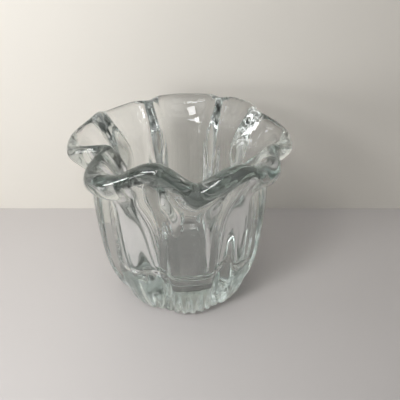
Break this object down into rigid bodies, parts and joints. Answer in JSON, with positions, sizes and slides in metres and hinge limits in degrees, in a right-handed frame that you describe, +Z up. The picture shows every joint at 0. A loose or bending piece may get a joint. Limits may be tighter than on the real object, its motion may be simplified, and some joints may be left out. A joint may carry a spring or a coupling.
{
  "type": "crystal art vase",
  "caption": "Free-standing vase of thick clear glass with a fluted body, a flared wavy lip and a heavy flat base; holds cut stems and water.",
  "frame": {"origin": "centre of the flat underside, on the vase axis", "axes": "+Z up along the vase axis out of the mouth, -Y towards the viewer of the picture, +X to the viewer's right"},
  "size_m": [0.1755, 0.1722, 0.1638],
  "materials": {
    "clear_glass": "clear thick glass with a faint grey-green tint, fire-polished and glossy all over"
  },
  "bodies": {
    "root": {"vase": "clear_glass"}
  },
  "joints": []
}
